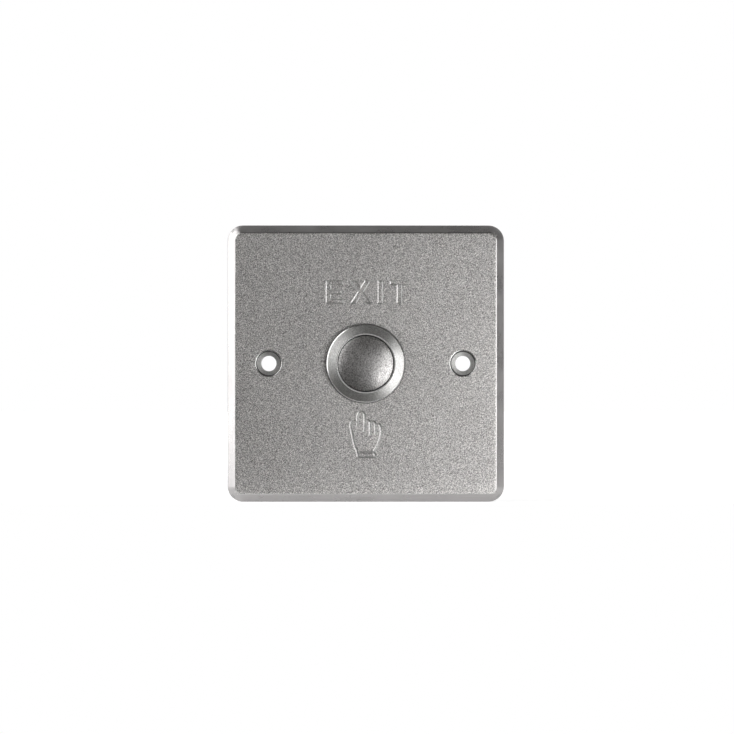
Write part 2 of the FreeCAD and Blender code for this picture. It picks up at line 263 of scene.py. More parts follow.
floor_mesh = bpy.data.meshes.new("floor")
floor_mesh.from_pydata(
    [(-floor_reach, floor_front, floor_z), (floor_reach, floor_front, floor_z),
     (floor_reach, floor_reach, floor_z), (-floor_reach, floor_reach, floor_z)],
    [], [(0, 1, 2, 3)])
floor = bpy.data.objects.new("floor", floor_mesh)
bpy.context.scene.collection.objects.link(floor)
floor_paint = bpy.data.materials.new("floor_paper")
floor_paint.use_nodes = True
nt = floor_paint.node_tree
nt.nodes.clear()
path = add(nt, "ShaderNodeLightPath")
side = add(nt, "ShaderNodeNewGeometry")
place = add(nt, "ShaderNodeTexCoord")
far = add(nt, "ShaderNodeVectorMath", operation="LENGTH")
fade = add(nt, "ShaderNodeMapRange", **{
    "From Min": fade_from, "From Max": fade_to, "To Min": near_glow, "To Max": full_glow})
depth = add(nt, "ShaderNodeSeparateXYZ")
end_fade = add(nt, "ShaderNodeMapRange", **{
    "From Min": floor_front, "From Max": face_y, "To Min": full_glow, "To Max": near_glow})
brighter = add(nt, "ShaderNodeMath", operation="MAXIMUM")
seen = add(nt, "ShaderNodeMath", operation="MULTIPLY")
dimmer = add(nt, "ShaderNodeMath", operation="MULTIPLY", _1=mirror_share)
mirrored = add(nt, "ShaderNodeMath", operation="MULTIPLY")
either = add(nt, "ShaderNodeMath", operation="MAXIMUM")
paper = add(nt, "ShaderNodeBsdfDiffuse", Color=(paper_grey, paper_grey, paper_grey, 1))
glow = add(nt, "ShaderNodeEmission")
both = add(nt, "ShaderNodeAddShader")
clear = add(nt, "ShaderNodeBsdfTransparent")
choose = add(nt, "ShaderNodeMixShader")
out = add(nt, "ShaderNodeOutputMaterial")
wire(
    nt,
    (place, "Object", far, 0),
    (place, "Object", depth, 0),
    (far, "Value", fade, "Value"),
    (depth, "Y", end_fade, "Value"),
    (fade, 0, brighter, 0),
    (end_fade, 0, brighter, 1),
    (brighter, 0, seen, 0),
    (path, "Is Camera Ray", seen, 1),
    (path, "Is Glossy Ray", dimmer, 0),
    (dimmer, 0, mirrored, 0),
    (fade, 0, mirrored, 1),
    (seen, 0, either, 0),
    (mirrored, 0, either, 1),
    (either, 0, glow, "Strength"),
    (paper, 0, both, 0),
    (glow, 0, both, 1),
    (side, "Backfacing", choose, "Fac"),
    (both, 0, choose, 1),
    (clear, 0, choose, 2),
    (choose, 0, out, "Surface"),
)
floor_mesh.materials.append(floor_paint)
print("floor at", round(floor_z / mm, 1), "mm")

# %% [markdown]
# ## Shared effects as node groups
#
# Five things give these metals and plastics their look, and most finishes need one of them: the
# grain that blasting or a textured mould leaves, the fine rings of a turning tool, the long
# scratches of rolled strip, the lines that run along the plate's polished border, and the slow
# cloudiness that handling leaves on any surface. Each is a group that takes a place on the object
# and gives a height or a mask. The shader itself stays in each material, so that every finish can
# be read in one place.

# %% Make a group's frame
def group(name, entry, value, outputs=("Height", "Tone")):
    """A new shader group that takes a place and one more value, and its two end nodes."""
    tree = bpy.data.node_groups.new(name, "ShaderNodeTree")
    kind = "NodeSocketFloat" if isinstance(value, float) else "NodeSocketVector"
    tree.interface.new_socket("Place", in_out="INPUT", socket_type="NodeSocketVector")
    tree.interface.new_socket(entry, in_out="INPUT", socket_type=kind).default_value = value
    for socket in outputs:
        tree.interface.new_socket(socket, in_out="OUTPUT", socket_type="NodeSocketFloat")
    return tree, add(tree, "NodeGroupInput"), add(tree, "NodeGroupOutput")


def per_metre(tree, start, size):
    """How often a group's size in millimetres goes into a metre, for a noise's scale."""
    share = add(tree, "ShaderNodeMath", operation="DIVIDE", _0=1 / mm)
    wire(tree, (start, size, share, 1))
    return share


def fine_lines(tree, start, end, spot):
    """Noise at a place, as fine as the group's pitch, for the group's height and tone."""
    lines = add(tree, "ShaderNodeTexNoise", Detail=2.0, Roughness=0.6)
    wire(
        tree,
        (per_metre(tree, start, "Pitch mm"), 0, lines, "Scale"),
        (spot, 0, lines, "Vector"),
        (lines, "Fac", end, "Height"),
        (lines, "Fac", end, "Tone"),
    )


# %% Grain of a blasted or textured surface
grain, start, end = group("grain", "Size mm", 0.5)
pit_share = per_metre(grain, start, "Size mm")
finer = add(grain, "ShaderNodeMath", operation="MULTIPLY", _1=2.6)    # dust is finer
tilt = add(grain, "ShaderNodeMapping", Rotation=(0.5, 0.8, 0.3))      # off the noise's own lattice
pits = add(grain, "ShaderNodeTexNoise", Detail=1.0, Roughness=0.5)
dust = add(grain, "ShaderNodeTexNoise", Detail=1.0, Roughness=0.5)
both = add(grain, "ShaderNodeMix", data_type="FLOAT", Factor=0.2)     # a fifth of dust
crisp = add(grain, "ShaderNodeMapRange", **{"From Min": 0.40, "From Max": 0.60})
wire(
    grain,
    (pit_share, 0, pits, "Scale"),
    (pit_share, 0, finer, 0),
    (finer, 0, dust, "Scale"),
    (start, "Place", tilt, "Vector"),
    (tilt, 0, pits, "Vector"),
    (tilt, 0, dust, "Vector"),
    (pits, "Fac", both, "A"),
    (dust, "Fac", both, "B"),
    (both, "Result", crisp, "Value"),
    (crisp, 0, end, "Height"),
    (crisp, 0, end, "Tone"),
)

# %% Rings of a turning tool, about the switch's axis
rings, start, end = group("turned_rings", "Pitch mm", 0.2)
parts = add(rings, "ShaderNodeSeparateXYZ")
flat = add(rings, "ShaderNodeCombineXYZ")
radius = add(rings, "ShaderNodeVectorMath", operation="LENGTH")
along = add(rings, "ShaderNodeMath", operation="MULTIPLY", _1=0.7)    # wider apart along the axis
run = add(rings, "ShaderNodeMath", operation="ADD")
turn = add(rings, "ShaderNodeMath", operation="ARCTAN2")
wobble = add(rings, "ShaderNodeMath", operation="MULTIPLY", _1=0.00004)    # metres in a radian
spot = add(rings, "ShaderNodeCombineXYZ")
wire(
    rings,
    (start, "Place", parts, 0),
    (parts, "X", flat, "X"),
    (parts, "Z", flat, "Z"),
    (flat, 0, radius, 0),
    (parts, "Y", along, 0),
    (radius, "Value", run, 0),
    (along, 0, run, 1),
    (parts, "X", turn, 0),
    (parts, "Z", turn, 1),
    (turn, 0, wobble, 0),
    (run, 0, spot, "X"),
    (wobble, 0, spot, "Y"),
)
fine_lines(rings, start, end, spot)

# %% Long scratches of rolled or drawn stock
drawn, start, end = group("drawn_lines", "Stretch", (60, 900, 900))
pulled = add(drawn, "ShaderNodeVectorMath", operation="MULTIPLY")
hair = add(drawn, "ShaderNodeTexNoise", Scale=6.0, Detail=4.0, Roughness=0.65)
wire(
    drawn,
    (start, "Place", pulled, 0),
    (start, "Stretch", pulled, 1),
    (pulled, 0, hair, "Vector"),
    (hair, "Fac", end, "Height"),
    (hair, "Fac", end, "Tone"),
)

# %% Lines that run along the plate's border
border, start, end = group("border_lines", "Pitch mm", 0.3)
parts = add(border, "ShaderNodeSeparateXYZ")
across = add(border, "ShaderNodeMath", operation="ABSOLUTE")
upward = add(border, "ShaderNodeMath", operation="ABSOLUTE")
outward = add(border, "ShaderNodeMath", operation="MAXIMUM")
total = add(border, "ShaderNodeMath", operation="ADD")
along = add(border, "ShaderNodeMath", operation="MULTIPLY", _1=0.02)    # lines 50 times as long
spot = add(border, "ShaderNodeCombineXYZ")
wire(
    border,
    (start, "Place", parts, 0),
    (parts, "X", across, 0),
    (parts, "Z", upward, 0),
    (across, 0, outward, 0),
    (upward, 0, outward, 1),
    (parts, "X", total, 0),
    (parts, "Z", total, 1),
    (total, 0, along, 0),
    (outward, 0, spot, "X"),
    (along, 0, spot, "Y"),
)
fine_lines(border, start, end, spot)

# %% Slow clouds of handling and plating
clouds, start, end = group("handling_clouds", "Size mm", 12.0, ["Mask"])
haze = add(clouds, "ShaderNodeTexNoise", Detail=5.0, Roughness=0.6)
clear = add(clouds, "ShaderNodeMapRange", **{"From Min": 0.35, "From Max": 0.65})
wire(
    clouds,
    (per_metre(clouds, start, "Size mm"), 0, haze, "Scale"),
    (start, "Place", haze, "Vector"),
    (haze, "Fac", clear, "Value"),
    (clear, 0, end, "Mask"),
)
print("effects:", [tree.name for tree in (grain, rings, drawn, border, clouds)])

# %% [markdown]
# ## A finish
#
# Every finish here is built alike: an effect's tone mixes a dark and a light shade of the colour,
# the clouds shift the roughness a little, and the effect's height goes through a bump. What makes
# nickel differ from rubber is the shader's own values. So one function builds a finish from its
# effect and those values.

# %% Write the finish function
def finish(name, dark, light, rough, effect, values=None, metal=1.0, bump_mm=0.01, cloud_mm=12.0,
           cloud_share=0.15, rough_shift=0.05, rough_by_mark=0.0):
    """Two shades mixed by an effect, roughness shifted by clouds or the effect, and a bump."""
    paint = bpy.data.materials.new(name)
    paint.use_nodes = True
    tree = paint.node_tree
    shader = tree.nodes["Principled BSDF"]
    shader.inputs["Metallic"].default_value = metal
    place = add(tree, "ShaderNodeTexCoord")
    mark = add(tree, "ShaderNodeGroup", node_tree=effect)
    for socket, value in (values or {}).items():
        mark.inputs[socket].default_value = value
    cloud = add(tree, "ShaderNodeGroup", node_tree=clouds)
    cloud.inputs["Size mm"].default_value = cloud_mm

    colour = add(tree, "ShaderNodeMix", data_type="RGBA", A=(*dark, 1), B=(*light, 1))
    tone = add(tree, "ShaderNodeMix", data_type="FLOAT", Factor=cloud_share)
    gloss = add(tree, "ShaderNodeMapRange", **{
        "To Min": rough - rough_shift, "To Max": rough + rough_shift})
    shift = add(tree, "ShaderNodeMix", data_type="FLOAT", Factor=rough_by_mark)
    bump = add(tree, "ShaderNodeBump", Strength=1.0, Distance=bump_mm * mm)
    wire(
        tree,
        (place, "Object", mark, "Place"),
        (place, "Object", cloud, "Place"),
        (mark, "Tone", tone, "A"),
        (cloud, "Mask", tone, "B"),
        (tone, "Result", colour, "Factor"),
        (colour, "Result", shader, "Base Color"),
        (cloud, "Mask", shift, "A"),
        (mark, "Tone", shift, "B"),
        (shift, "Result", gloss, "Value"),
        (gloss, 0, shader, "Roughness"),
        (mark, "Height", bump, "Height"),
        (bump, 0, shader, "Normal"),
    )
    return paint


# %% [markdown]
# ## The finishes of this object
#
# The plate is a zinc casting, sand-blasted on its face and nickel plated all over. The face is
# grainy and dull, and the walls of its word and hand are smoother. The sloping border is polished
# along its sides, and the edge round each screw hole is bright, above a satin seat. The wall of
# each screw hole between them is painted near black, as painted shade for the shadow in the hole.
# The back keeps the skin of the mould. Ring, button and nut were turned and plated, the ring and
# the button satin; the ring's steep outer side is painted dark, as a painted shadow line. The rest
# is what such switches are made of: zinc plated steel, spring wire, rubber, moulded plastic,
# copper, brass and silver.

# %% Mix the finishes
blasted_nickel = finish(
    "blasted_nickel", (0.22, 0.213, 0.208), (0.97, 0.947, 0.931), 0.52, grain, {"Size mm": 0.25},
    bump_mm=0.025, cloud_mm=25, cloud_share=0.05, rough_shift=0.06, rough_by_mark=1.0)
smooth_nickel = finish(
    "smooth_nickel", (0.415, 0.403, 0.401), (0.56, 0.545, 0.544), 0.30, border,
    {"Pitch mm": 0.35}, bump_mm=0.004, cloud_mm=9, cloud_share=0.3)
edge_nickel = finish(
    "edge_nickel", (0.70, 0.695, 0.685), (0.84, 0.835, 0.825), 0.24, border, {"Pitch mm": 0.35},
    bump_mm=0.002, cloud_mm=4)
# painted shade: a near-black nickel for the walls of the screw holes, standing in for their shadow
painted_shade_nickel = finish(
    "painted_shade_nickel", (0.05, 0.049, 0.047), (0.12, 0.118, 0.114), 0.50, grain, {"Size mm": 0.3},
    bump_mm=0.008, cloud_mm=4)
mark_nickel = finish(
    "mark_nickel", (0.45, 0.446, 0.438), (0.70, 0.695, 0.683), 0.36, grain, {"Size mm": 0.25},
    cloud_mm=6)
# painted shade: a dark nickel for the ring's steep outer side, a painted shadow line round the ring
painted_shadow_side_nickel = finish(
    "painted_shadow_side_nickel", (0.13, 0.129, 0.126), (0.20, 0.198, 0.195), 0.34, rings, {"Pitch mm": 0.15},
    bump_mm=0.002, cloud_mm=4)
cast_skin = finish(
    "cast_skin", (0.39, 0.388, 0.384), (0.48, 0.478, 0.473), 0.52, grain, {"Size mm": 0.7},
    bump_mm=0.03, cloud_mm=14, cloud_share=0.4, rough_shift=0.08)
seat_nickel = finish(
    "seat_nickel", (0.42, 0.416, 0.408), (0.60, 0.595, 0.585), 0.50, grain, {"Size mm": 0.3},
    cloud_mm=4)
turned_nickel = finish(
    "turned_nickel", (0.50, 0.495, 0.485), (0.64, 0.635, 0.625), 0.41, rings, {"Pitch mm": 0.25},
    bump_mm=0.004)
ring_nickel = finish(
    "ring_nickel", (0.42, 0.415, 0.405), (0.70, 0.695, 0.685), 0.40, grain, {"Size mm": 0.28},
    bump_mm=0.008, cloud_mm=5, cloud_share=0.1, rough_shift=0.02)
button_nickel = finish(
    "button_nickel", (0.22, 0.214, 0.210), (0.67, 0.655, 0.648), 0.40, grain, {"Size mm": 0.3},
    cloud_mm=3, cloud_share=0.1, rough_shift=0.02)
zinc_plate = finish(
    "zinc_plate", (0.52, 0.53, 0.55), (0.66, 0.67, 0.69), 0.30, drawn, bump_mm=0.004, cloud_mm=3)
spring_wire = finish(
    "spring_wire", (0.40, 0.40, 0.41), (0.55, 0.55, 0.56), 0.28, drawn,
    {"Stretch": (300, 300, 300)}, bump_mm=0.002, cloud_mm=2)
black_rubber = finish(
    "black_rubber", (0.018, 0.018, 0.018), (0.035, 0.035, 0.035), 0.7, grain, {"Size mm": 0.25},
    metal=0.0, cloud_mm=3)
black_plastic = finish(
    "black_plastic", (0.018, 0.018, 0.02), (0.032, 0.032, 0.034), 0.42, grain, {"Size mm": 0.35},
    metal=0.0, bump_mm=0.008, cloud_mm=5)
white_plastic = finish(
    "white_plastic", (0.74, 0.73, 0.69), (0.82, 0.81, 0.78), 0.4, grain, {"Size mm": 0.5},
    metal=0.0, bump_mm=0.003, cloud_mm=5)
copper_strip = finish(
    "copper_strip", (0.66, 0.34, 0.20), (0.80, 0.46, 0.30), 0.3, drawn, bump_mm=0.004, cloud_mm=2)
brass_strip = finish(
    "brass_strip", (0.66, 0.47, 0.20), (0.80, 0.62, 0.32), 0.3, drawn, bump_mm=0.004, cloud_mm=2)
silver_tip = finish(
    "silver_tip", (0.74, 0.73, 0.70), (0.86, 0.85, 0.82), 0.25, grain, {"Size mm": 0.3},
    bump_mm=0.002, cloud_mm=1)
print("finishes:", len(bpy.data.materials))

# %% [markdown]
# ## Rounding a solid's edges
#
# A solid's edges are perfectly sharp, and no real edge is: a casting, a moulding or a stamped part
# catches a thin line of light along each edge. The frame's meshes stay as they are, so each piece
# that needs it is copied, its seams are merged, the triangles of flat faces are joined, and its
# sharp edges are bevelled. Normals weighted by face size then keep the large faces flat. A copy
# rides with its node's body and takes the node's place.

# %% Write the helpers for copies
def put(name, mesh):
    """An object in the scene for a mesh."""
    obj = bpy.data.objects.new(name, mesh)
    bpy.context.scene.collection.objects.link(obj)
    return obj


def mesh_from(bm, name):
    """Turn an edit mesh into a mesh of that name."""
    mesh = bpy.data.meshes.new(name)
    bm.to_mesh(mesh)
    bm.free()
    return mesh


def merged(node):
    """An edit mesh of a node with its seams closed and its flat faces whole."""
    bm = bmesh.new()
    bm.from_mesh(frame["nodes"][node].data)
    bmesh.ops.remove_doubles(bm, verts=bm.verts, dist=0.002 * mm)
    bmesh.ops.dissolve_limit(bm, angle_limit=math.radians(0.5), verts=bm.verts, edges=bm.edges)
    return bm


def round_edges(bm, width, angle=28.0, segments=2, chosen=None):
    """Bevel the edges that turn by more than that many degrees, and that the test picks."""
    sharp = []
    for edge in bm.edges:
        if len(edge.link_faces) == 2 and edge.calc_face_angle(0) > math.radians(angle):
            if chosen is None or chosen(edge):
                sharp.append(edge)
    bmesh.ops.bevel(bm, geom=sharp, offset=width, offset_type="OFFSET", segments=segments,
                    profile=0.5, affect="EDGES", clamp_overlap=True)
    return len(sharp)


def smooth(obj, angle=40.0):
    """Smooth shading that still shows the corners, with large faces kept flat."""
    for face in obj.data.polygons:
        face.use_smooth = True
    obj.data.set_sharp_from_angle(angle=math.radians(angle))
    weight = obj.modifiers.new("weighted", "WEIGHTED_NORMAL")
    weight.keep_sharp = True


def finished(obj, node, paint, body=None):
    """Give a piece its finish, let it ride with its node's body, and hide the node."""
    obj.data.materials.clear()
    obj.data.materials.append(paint)
    smooth(obj)
    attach(obj, body or frame["nodes"][node]["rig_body"])
    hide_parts(node)
    return obj


def dressed(node, paint, width):
    """A copy of a node with soft edges and a finish."""
    bm = merged(node)
    count = round_edges(bm, width)
    mesh = mesh_from(bm, node + "_piece")
    print(node, "edges rounded:", count, "faces:", len(mesh.polygons))
    finished(put(node + "_piece", mesh), node, paint)


# %% [markdown]
# ## The lathe
#
# The sunk screw holes, the switch's ring, its barrel and the button are turned, and in mesh code a
# lathe is the right tool too: a line of corners (radius, depth), each with its own small round, is
# spun about an axis. A corner's round is an arc between the two lines that meet there.

# %% Write the lathe
def rounded_line(corners, steps=4):
    """Points along a line of (radius, y, round) corners, with each round drawn as an arc."""
    points = []
    last = len(corners) - 1
    for k, (r, y, size) in enumerate(corners):
        here = Vector((r, y))
        if size == 0 or k in (0, last):
            points.append(here)
            continue
        before = (Vector(corners[k - 1][:2]) - here).normalized()
        after = (Vector(corners[k + 1][:2]) - here).normalized()
        half_angle = before.angle(after) / 2
        reach = size / math.tan(half_angle)
        middle = here + (before + after).normalized() * (size / math.sin(half_angle))
        start, end = here + before * reach - middle, here + after * reach - middle
        swing = start.angle_signed(end)
        for step in range(steps + 1):
            points.append(middle + Matrix.Rotation(-swing * step / steps, 2) @ start)
    return points


def join_columns(bm, columns):
    """Faces between neighbouring columns of corners, all the way round."""
    for k, two in enumerate(columns):
        one = columns[k - 1]
        for j in range(len(one) - 1):
            bm.faces.new((one[j], one[j + 1], two[j + 1], two[j]))


def spin(bm, points, segments=128, x=0.0):
    """Spin a line of (radius, y) points about an axis along Y that lies x beside the switch's."""
    columns = []
    for k in range(segments):
        a = 2 * math.pi * k / segments
        columns.append([bm.verts.new((x + p[0] * math.cos(a), p[1], p[0] * math.sin(a)))
                        for p in points])
    join_columns(bm, columns)


def spun(name, points, segments=128):
    """A mesh from a line of (radius, y) points spun about the switch's axis."""
    bm = bmesh.new()
    spin(bm, points, segments)
    bmesh.ops.remove_doubles(bm, verts=bm.verts, dist=0.0005 * mm)
    bmesh.ops.recalc_face_normals(bm, faces=bm.faces)
    mesh = mesh_from(bm, name)
    print(name, "points:", len(points), "faces:", len(mesh.polygons))
    return mesh


# %% [markdown]
# ## The plate
#
# One casting carries everything: a blasted face that rolls off towards a sloping border, two sunk
# holes, and the word and the hand, which are sunk by about a fifth and a quarter of a millimetre.
# Cutting such fine marks out of a solid is slow and leaves ragged corners. A height field is
# quicker and rounder: two fields of small squares are let into the face, and each corner of a
# square is pushed in by a depth that follows from its distance to the nearest mark.
#
# The distances are signed: above zero outside a mark, below zero inside it. A box, a slanting bar
# and a line each have a short formula, the nearest of several shapes is the smallest of their
# distances, and one curve turns a distance into a depth with a rounded shoulder.

# %% Measure the distance to a mark
def box_distance(x, z, left, right, low, high):
    """Signed distance to a rectangle."""
    dx = np.maximum(left - x, x - right)
    dz = np.maximum(low - z, z - high)
    return np.minimum(np.maximum(dx, dz), 0) + np.hypot(np.maximum(dx, 0), np.maximum(dz, 0))


def bar_distance(x, z, foot, head, low, high, width):
    """Signed distance to a slanting bar whose ends are cut level at low and high."""
    lean = (head - foot) / (high - low)
    middle = foot + lean * (z - low)
    across = np.abs(x - middle) / math.hypot(1, lean) - width / 2
    return np.maximum(across, np.maximum(low - z, z - high))


def line_distance(x, z, points):
    """Distance to a line through points."""
    nearest = np.full(x.shape, 1.0)
    for (ax, az), (bx, bz) in zip(points[:-1], points[1:]):
        way_x, way_z = bx - ax, bz - az
        along = np.clip(((x - ax) * way_x + (z - az) * way_z) / (way_x**2 + way_z**2), 0, 1)
        off = np.hypot(x - ax - along * way_x, z - az - along * way_z)
        nearest = np.minimum(nearest, off)
    return nearest


# %% [markdown]
# The word is drawn from a height, a stroke and the letters' widths, so that a change of one of
# them redraws it. The letters are plain and upright, as cut by a mould maker.

# %% Draw the word
word_top = 25.65 * mm
word_height = 6.9 * mm
word_left = -12.3 * mm
stroke = 1.35 * mm
arm = 1.15 * mm
short_arm = 0.35 * mm          # by which the middle arm of the E is shorter
cross_end = stroke * 0.63      # from the side of the X to the end of a bar's middle line
letter_gap = 2.4 * mm
widths = {"E": 5.2 * mm, "X": 6.1 * mm, "I": 1.35 * mm, "T": 5.7 * mm}
word_low = word_top - word_height


def letter_e(x, z, left, right):
    """An upright and three arms, of which the middle one is a little shorter."""
    middle = (word_low + word_top) / 2
    shapes = [
        box_distance(x, z, left, left + stroke, word_low, word_top),
        box_distance(x, z, left, right, word_low, word_low + arm),
        box_distance(x, z, left, right - short_arm, middle - arm / 2, middle + arm / 2),
        box_distance(x, z, left, right, word_top - arm, word_top),
    ]
    return np.minimum.reduce(shapes)


def letter_x(x, z, left, right):
    """Two crossing bars."""
    left, right = left + cross_end, right - cross_end
    up = bar_distance(x, z, left, right, word_low, word_top, stroke)
    down = bar_distance(x, z, right, left, word_low, word_top, stroke)
    return np.minimum(up, down)


def letter_i(x, z, left, right):
    """One upright."""
    return box_distance(x, z, left, right, word_low, word_top)


def letter_t(x, z, left, right):
    """An arm over an upright."""
    middle = (left + right) / 2
    upright = box_distance(x, z, middle - stroke / 2, middle + stroke / 2, word_low, word_top)
    return np.minimum(upright, box_distance(x, z, left, right, word_top - arm, word_top))


def word_distance(x, z):
    """Signed distance to the nearest letter."""
    nearest = np.full(x.shape, 1.0)
    left = word_left
    for letter, shape in (("E", letter_e), ("X", letter_x), ("I", letter_i), ("T", letter_t)):
        nearest = np.minimum(nearest, shape(x, z, left, left + widths[letter]))
        left += widths[letter] + letter_gap
    return nearest


print("the word ends at", round((word_left + sum(widths.values()) + 3 * letter_gap) / mm, 2), "mm")

# %% [markdown]
# The hand is drawn with a round-nosed groove. It is the common sign for pressing a button: one
# finger up, three folded, the thumb at the side and a cuff below. Each line is a smooth curve
# through a few points: between two of them the curve leans on the neighbours on both sides.

# %% Draw the hand
hand_lines = [
    # the raised finger
    [(-2.6, -19.2), (-2.6, -16.6), (-2.2, -15.4), (-1.5, -15.0), (-0.8, -15.4), (-0.4, -16.6),
     (-0.4, -21.0)],
    # three folded fingers, from the tallest
    [(-0.1, -18.0), (0.5, -17.6), (1.1, -18.0), (1.3, -19.0), (1.3, -21.9)],
    [(1.5, -18.5), (2.1, -18.1), (2.8, -18.5), (3.0, -19.5), (3.0, -21.9)],
    [(3.2, -19.0), (3.7, -18.8), (4.35, -19.1), (4.65, -20.2), (4.7, -22.0), (4.2, -23.8),
     (3.3, -25.9), (2.7, -27.0)],
    # the thumb and the side of the hand, down to the cuff
    [(-2.8, -18.2), (-3.6, -17.9), (-4.45, -18.3), (-4.75, -19.4), (-4.35, -21.4), (-4.0, -23.3),
     (-3.5, -25.4), (-2.8, -27.0), (-2.35, -28.8)],
    # the cuff
    [(-2.0, -27.5), (0.0, -27.5), (2.3, -27.5)],
    [(2.3, -27.5), (2.7, -28.2), (3.0, -28.9)],
    [(-2.1, -29.0), (0.0, -29.0), (2.8, -29.0)],
]


def smooth_line(points, steps=6):
    """A smooth line through points given in millimetres."""
    p = [Vector(q) * mm for q in points]
    p = [p[0] * 2 - p[1]] + p + [p[-1] * 2 - p[-2]]
    line = []
    for a, b, c, d in zip(p[:-3], p[1:-2], p[2:-1], p[3:]):
        for k in range(steps):
            t = k / steps
            line.append(b + (c - a) * (t / 2) + (a * 2 - b * 5 + c * 4 - d) * (t * t / 2)
                        + (b * 3 - a - c * 3 + d) * (t**3 / 2))
    return line + [p[-2]]


hand = [smooth_line(points) for points in hand_lines]


def hand_distance(x, z):
    """Distance to the nearest line of the hand."""
    return np.minimum.reduce([line_distance(x, z, line) for line in hand])


# %% Turn distances into depths
mark_depth = 0.20 * mm
letter_shoulder = 0.38 * mm    # width of a letter's sloping wall
groove_half = 0.38 * mm
groove_depth = 0.26 * mm
groove_nose = 0.8              # below 1 the groove's bottom is blunter than a parabola


def word_depth(x, z):
    """Flat-bottomed letters with sloping walls and rounded shoulders."""
    share = np.clip(0.5 - word_distance(x, z) / letter_shoulder, 0, 1)
    return mark_depth * share * share * (3 - 2 * share)


def hand_depth(x, z):
    """Round-nosed grooves."""
    share = np.clip(1 - (hand_distance(x, z) / groove_half) ** 2, 0, 1)
    return groove_depth * share**groove_nose


def field(bm, left, right, low, high, depth, step=0.1 * mm):
    """Small squares let into the face, pushed in by a depth; gives the edges of their border."""
    across = int(round((right - left) / step)) + 1
    upward = int(round((high - low) / step)) + 1
    x, z = np.meshgrid(np.linspace(left, right, across), np.linspace(low, high, upward))
    y = face_y + depth(x, z)
    verts = [[bm.verts.new((x[j, k], y[j, k], z[j, k])) for k in range(across)]
             for j in range(upward)]
    for j in range(upward - 1):
        for k in range(across - 1):
            bm.faces.new((verts[j][k], verts[j][k + 1], verts[j + 1][k + 1], verts[j + 1][k]))
    border = [verts[0], verts[-1], [row[0] for row in verts], [row[-1] for row in verts]]
    return [bm.edges.get(pair) for side in border for pair in zip(side[:-1], side[1:])]


# %% [markdown]
# The solid's screw holes are taken out of a copy, and its sharp edges are rounded: those between
# the face and the border most, the border's other edges less, and all others least. Then the flat
# face is taken out, holes turned on the lathe and the two fields are let in, and flat triangles
# fill the rest of the face between them and the outer edge.

# %% Build the plate
half = plate_side / 2
border_band = 3 * mm           # from the plate's side inward, a little more than the border
face_band = 0.3 * mm           # behind the face, where the edges of the border's slope start
on_face = face_y + 0.01 * mm
straight = 0.9999              # of a normal that looks straight ahead or straight back
outline_round = 0.2 * mm
face_round = 0.42 * mm
inner_round = 0.16 * mm
screw_x = 60.3 / 2 * mm
sink_radius = 4.2 * mm         # all of a screw hole lies this close to its axis
word_window = (-13.2 * mm, 13.8 * mm, 18.0 * mm, 26.4 * mm)    # left, right, low, high
hand_window = (-5.8 * mm, 5.8 * mm, -29.8 * mm, -14.2 * mm)
sink_line = rounded_line([
    (4.6 * mm, face_y, 0),
    (3.95 * mm, face_y, 0.40 * mm),
    (3.6 * mm, face_y + 0.9 * mm, 0.20 * mm),
    (2.4 * mm, face_y + 1.05 * mm, 0.12 * mm),
    (2.4 * mm, 0, 0),
])


def is_sink(face):
    """A face of a screw hole or its sunk seat."""
    return all(math.hypot(abs(v.co.x) - screw_x, v.co.z) < sink_radius for v in face.verts)


def is_face_edge(edge):
    """An edge between the flat face and the sloping border."""
    a, b = edge.verts[0].co, edge.verts[1].co
    return max(abs(a.x), abs(a.z)) > half - border_band and max(a.y, b.y) < face_y + face_band


def is_outline(edge):
    """Any other edge of the sloping border and the plate's sides."""
    a = edge.verts[0].co
    return max(abs(a.x), abs(a.z)) > half - border_band and not is_face_edge(edge)


bm = merged("face_plate")
bmesh.ops.delete(bm, geom=[f for f in bm.faces if is_sink(f)], context="FACES")
outer = round_edges(bm, outline_round, angle=20, segments=3, chosen=is_outline)
outer += round_edges(bm, face_round, angle=20, segments=4, chosen=is_face_edge)
inner = round_edges(bm, inner_round, angle=28)
front = [f for f in bm.faces if f.normal.y < -straight and f.calc_center_median().y < on_face]
bmesh.ops.delete(bm, geom=front, context="FACES")
for side in (-1, 1):
    spin(bm, sink_line, segments=96, x=side * screw_x)
gap = [e for e in bm.edges if len(e.link_faces) == 1 and e.verts[0].co.y < on_face]
gap += field(bm, *word_window, word_depth)
gap += field(bm, *hand_window, hand_depth)
bmesh.ops.triangle_fill(bm, edges=gap, use_beauty=False, use_dissolve=False, normal=(0, -1, 0))
bmesh.ops.recalc_face_normals(bm, faces=bm.faces)
plate = put("plate_casting", mesh_from(bm, "plate_casting"))
print("edges rounded:", outer, "+", inner, "; open edges filled:", len(gap),
      "; faces:", len(plate.data.polygons))

# %% [markdown]
# The plate needs seven finishes. Where a face lies and which way it looks decide: the border is
# everything outside the edge of the flat face, the sunk holes lie close to their axes and have an
# edge, a wall and a seat, the back is behind the skin, and the rest is the blasted face, in which
# the walls of the marks stand out. The walls of the holes get a near-black nickel, which is painted
# shade for the shadow inside them. The flat faces of the back are shaded flat, because the long
# triangles between its rounded holes would show as rays.

# %% Give each face of the plate its finish
border_width = 2.4 * mm
skin = 1.9 * mm                # thickness of the casting's front
seat_from = 0.8 * mm           # depth at which a screw's seat begins
mark_reach = 0.5 * mm          # no mark is as deep
cavity_edge = 1.5 * mm         # the plate's side wall
margin = 0.05 * mm
# Y of a normal; -1 looks straight ahead
wall_turn = -0.55              # above this is a screw hole's wall
mark_turn = -0.94              # above this is the wall of a mark
flat_turn = -0.9995            # below this is the flat face
back_turn = 0.7                # above this is the back

